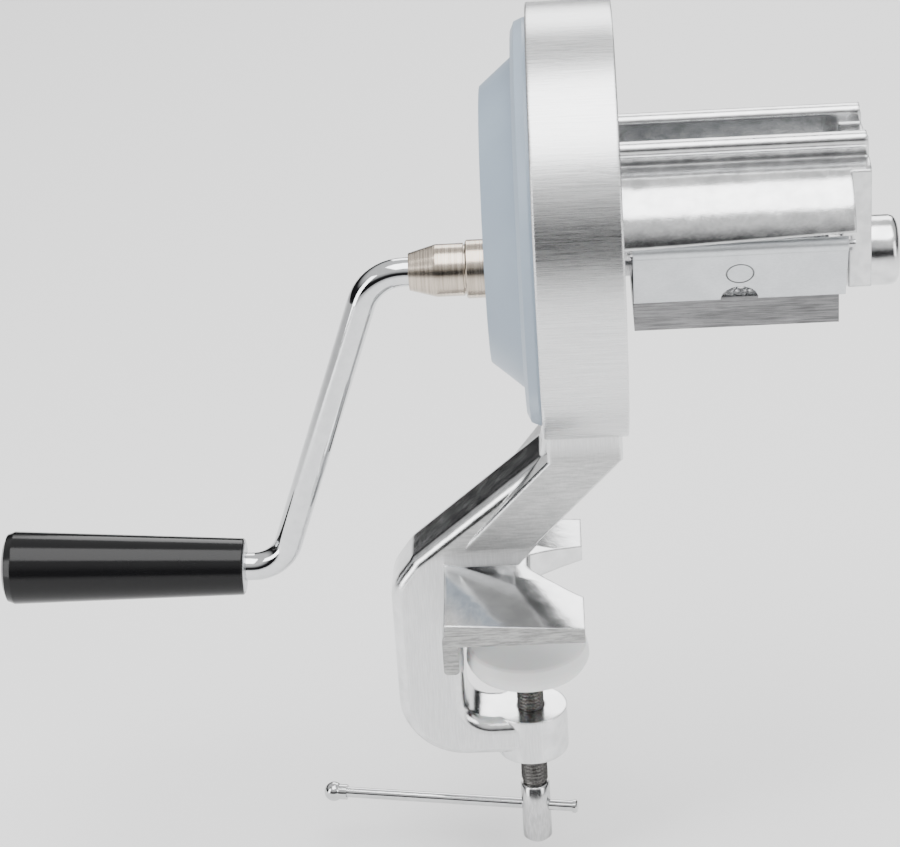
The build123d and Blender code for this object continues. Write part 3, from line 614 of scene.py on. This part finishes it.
# %% The drum's recipe
tree, start = new_tree(
    "punched drum", {"Round": CELLS_ROUND, "Along": CELLS_ALONG, "Radius": drum_radius, "Length": drum_length}
)
cell_length = start.out("Length") / start.out("Along")
cell_share = start.out("Round").maths("POWER", -1.0)
grid = start.add(
    "GeometryNodeMeshGrid",
    None,
    {
        "Size X": start.out("Length") - cell_length,
        "Size Y": start.out("Radius") * (2 * pi) * (1 - cell_share),
        "Vertices X": start.out("Along"),
        "Vertices Y": start.out("Round"),
    },
)
cells = start.add("GeometryNodeInstanceOnPoints", None, {"Points": grid, "Instance": start})
flat = start.add("GeometryNodeRealizeInstances", None, {"Geometry": cells})
spot = start.add("ShaderNodeSeparateXYZ", None, {"Vector": start.add("GeometryNodeInputPosition")})
turn = spot.out("Y") / start.out("Radius")
reach = start.out("Radius") + spot.out("Z")
rolled = start.add(
    "ShaderNodeCombineXYZ",
    None,
    {"X": spot, "Y": reach * turn.maths("COSINE"), "Z": reach * turn.maths("SINE")},
)
tube = start.add("GeometryNodeSetPosition", None, {"Geometry": flat, "Position": rolled})
closed = start.add("GeometryNodeMergeByDistance", None, {"Geometry": tube, "Distance": 0.02 * MM})
close_tree(closed, finish["drum_steel"])
drum = grow("punched_grating_drum", tree, cell, {}, "drum_steel", "rotor")
drum.data.transform(Matrix.Translation(((drum_low.x + drum_high.x) / 2, 0, crank_line)))
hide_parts("grating_drum")

# %% [markdown]
# ## The clamp screw's thread
#
# A thread is a surface whose radius is a zigzag of the height minus the turn. A grid rolled into a tube
# gives it directly, with no Boolean: each point's radius is worked out from its height and its angle.
# The screw's tip and its plain post keep the frame's own shape, and only the long plain stretch between
# them is cut away and given back as a thread.

# %% The thread's recipe
THREAD_PITCH, THREAD_DEPTH, THREAD_RADIUS = 1.5 * MM, 0.82 * MM, 5.0 * MM
tree, start = new_tree(
    "screw thread",
    {"Low": 0.0, "High": 0.0, "Radius": THREAD_RADIUS, "Pitch": THREAD_PITCH, "Depth": THREAD_DEPTH},
)
SIDES, ROWS = 41, 320
height = start.out("High") - start.out("Low")
grid = start.add(
    "GeometryNodeMeshGrid",
    None,
    {"Size X": 2 * pi, "Size Y": height, "Vertices X": SIDES, "Vertices Y": ROWS},
)
spot = start.add("ShaderNodeSeparateXYZ", None, {"Vector": start.add("GeometryNodeInputPosition")})
along = spot.out("Y")
phase = (along / start.out("Pitch") - spot.out("X") / (2 * pi)).maths("FRACT")
ridge = 1 - (phase * 2 - 1).maths("ABSOLUTE").maths("MULTIPLY", 1.35).maths("MINIMUM", 1.0)
fade = ((height / 2 - along.maths("ABSOLUTE")) / start.out("Pitch")).maths("MINIMUM", 1.0)
radius = start.out("Radius") - start.out("Depth") * (1 - ridge * fade)
rolled = start.add(
    "ShaderNodeCombineXYZ",
    None,
    {
        "X": radius * spot.out("X").maths("COSINE"),
        "Y": radius * spot.out("X").maths("SINE"),
        "Z": along + (start.out("Low") + start.out("High")) / 2,
    },
)
tube = start.add("GeometryNodeSetPosition", None, {"Geometry": grid, "Position": rolled})
closed = start.add("GeometryNodeMergeByDistance", None, {"Geometry": tube, "Distance": 0.01 * MM})
close_tree(closed, finish["screw_steel"])
THREAD_LOW = THREAD_FOOT * MM
THREAD_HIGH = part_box("clamp_pad")[0].z - 0.05 * MM
thread = grow(
    "rolled_thread",
    tree,
    bpy.data.meshes.new("thread carrier"),
    {"Low": THREAD_LOW, "High": THREAD_HIGH, "Radius": THREAD_RADIUS},
    "screw_steel",
    "screw",
)

# %% The screw's tip and post
post_mesh = frame["nodes"]["clamp_screw"].data.copy()
work = bmesh.new()
work.from_mesh(post_mesh)
bmesh.ops.remove_doubles(work, verts=work.verts, dist=1e-6)
long_faces = [
    face for face in work.faces
    if THREAD_LOW + 2 * MM < face.calc_center_median().z < THREAD_HIGH - 2 * MM
]
bmesh.ops.delete(work, geom=long_faces, context="FACES")
work.to_mesh(post_mesh)
work.free()
screw_post = bpy.data.objects.new("screw_tip_and_post", post_mesh)
bpy.context.scene.collection.objects.link(screw_post)
finish_piece(screw_post, "screw")
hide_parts("clamp_screw")
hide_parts("clamp_screw")

# %% [markdown]
# ## The flap's spring
#
# A coil of wire round the flap's pin pushes it shut. Geometry Nodes has a Spiral curve for this, and
# sweeping a small circle along it makes the wire.

# %% The spring's recipe
spring_low, spring_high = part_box("flap_spring")
wire_radius = 0.38 * MM
SPRING_SLACK = 0.02 * MM
coil_radius = (spring_high.y - spring_low.y) / 2 - wire_radius - SPRING_SLACK
coil_length = spring_high.x - spring_low.x - 2 * wire_radius
tree, start = new_tree(
    "coil spring", {"Turns": 3.0, "Coil": coil_radius, "Wire": wire_radius, "Length": coil_length}
)
spiral = start.add(
    "GeometryNodeCurveSpiral",
    None,
    {
        "Resolution": 32,
        "Rotations": start.out("Turns"),
        "Start Radius": start.out("Coil"),
        "End Radius": start.out("Coil"),
        "Height": start.out("Length"),
    },
)
circle = start.add(
    "GeometryNodeCurvePrimitiveCircle", {"mode": "RADIUS"}, {"Resolution": 10, "Radius": start.out("Wire")}
)
swept = start.add(
    "GeometryNodeCurveToMesh", None, {"Curve": spiral, "Profile Curve": circle, "Fill Caps": True}
)
close_tree(swept, finish["spring_steel"])
spring_carrier = bpy.data.meshes.new("spring carrier")
spring = grow("coiled_flap_spring", tree, spring_carrier, {}, "spring_steel", "housing")
spring_middle = (spring_low + spring_high) / 2
lay_down = Matrix.Rotation(radians(90), 4, "Y")
spring.data.transform(
    Matrix.Translation((spring_low.x + wire_radius, spring_middle.y, spring_middle.z)) @ lay_down
)
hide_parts("flap_spring")

# %% [markdown]
# ## Studio
#
# Bare metal shows only what stands round it. A pale floor, a broad light above and smaller ones at the
# left, the right and the back give the metals their bright faces. The sky is a ramp that is white overhead
# and nearly black just over the horizon, and that dark belt draws the soft dark bands on the metals.

# %% Floor, lights and sky
FLOOR = cad_low.z - 12 * MM
HALF_FLOOR = 8.0
floor_mesh = bpy.data.meshes.new("studio floor")
floor_corners = [(x * HALF_FLOOR, y * HALF_FLOOR, FLOOR) for x, y in ((-1, -1), (1, -1), (1, 1), (-1, 1))]
floor_mesh.from_pydata(floor_corners, [], [(0, 1, 2, 3)])
floor = bpy.data.objects.new("studio floor", floor_mesh)
bpy.context.scene.collection.objects.link(floor)
floor_paint, floor_shader, floor_wire = blank("pale floor")
connect(
    floor_wire,
    floor_shader,
    Base_Color=blend_colours(floor_wire, noise(floor_wire, 900.0), (0.90, 0.90, 0.90), (0.93, 0.93, 0.93)),
    Roughness=0.9,
)
floor_mesh.materials.append(floor_paint)


def soft_light(name, at, size, power, aim=(0.0, 0.0, 0.08)):
    """A square soft light at a place in metres, aimed at the grater."""
    data = bpy.data.lights.new(name, "AREA")
    data.shape = "RECTANGLE"
    data.size, data.size_y = size
    data.energy = power
    light = bpy.data.objects.new(name, data)
    bpy.context.scene.collection.objects.link(light)
    light.location = at
    light.rotation_euler = (Vector(aim) - Vector(at)).to_track_quat("-Z", "Y").to_euler()
    return light


soft_light("broad light above", (0.1, -0.25, 1.3), (1.3, 1.0), 26)
soft_light("tall light left", (-1.2, -0.7, 0.5), (0.5, 1.2), 12)
soft_light("fill light right", (1.3, -0.9, 0.5), (0.6, 1.0), 8)
soft_light("back light", (0.2, 1.4, 0.9), (1.2, 0.8), 14)

world = bpy.data.worlds.new("studio sky")
world.use_nodes = True
sky = Wire(world.node_tree)
sky_direction = sky.add("ShaderNodeTexCoord", out="Generated")
rise = sky_direction.add("ShaderNodeSeparateXYZ", None, {"Vector": sky_direction}).out("Z")
ramp = sky.add(
    "ShaderNodeValToRGB",
    {
        "stops": [
            (0.0, (1, 1, 1, 1)),
            (0.46, (0.9, 0.9, 0.9, 1)),
            (0.50, (0.015, 0.015, 0.016, 1)),
            (0.64, (0.02, 0.02, 0.022, 1)),
            (0.80, (1, 1, 1, 1)),
        ]
    },
    {"Fac": rise * 0.5 + 0.5},
)
background = world.node_tree.nodes["Background"]
world.node_tree.links.new(ramp.socket, background.inputs["Color"])
background.inputs["Strength"].default_value = 1.0
bpy.context.scene.world = world
print("studio ready, floor at", round(FLOOR / MM, 1), "mm")
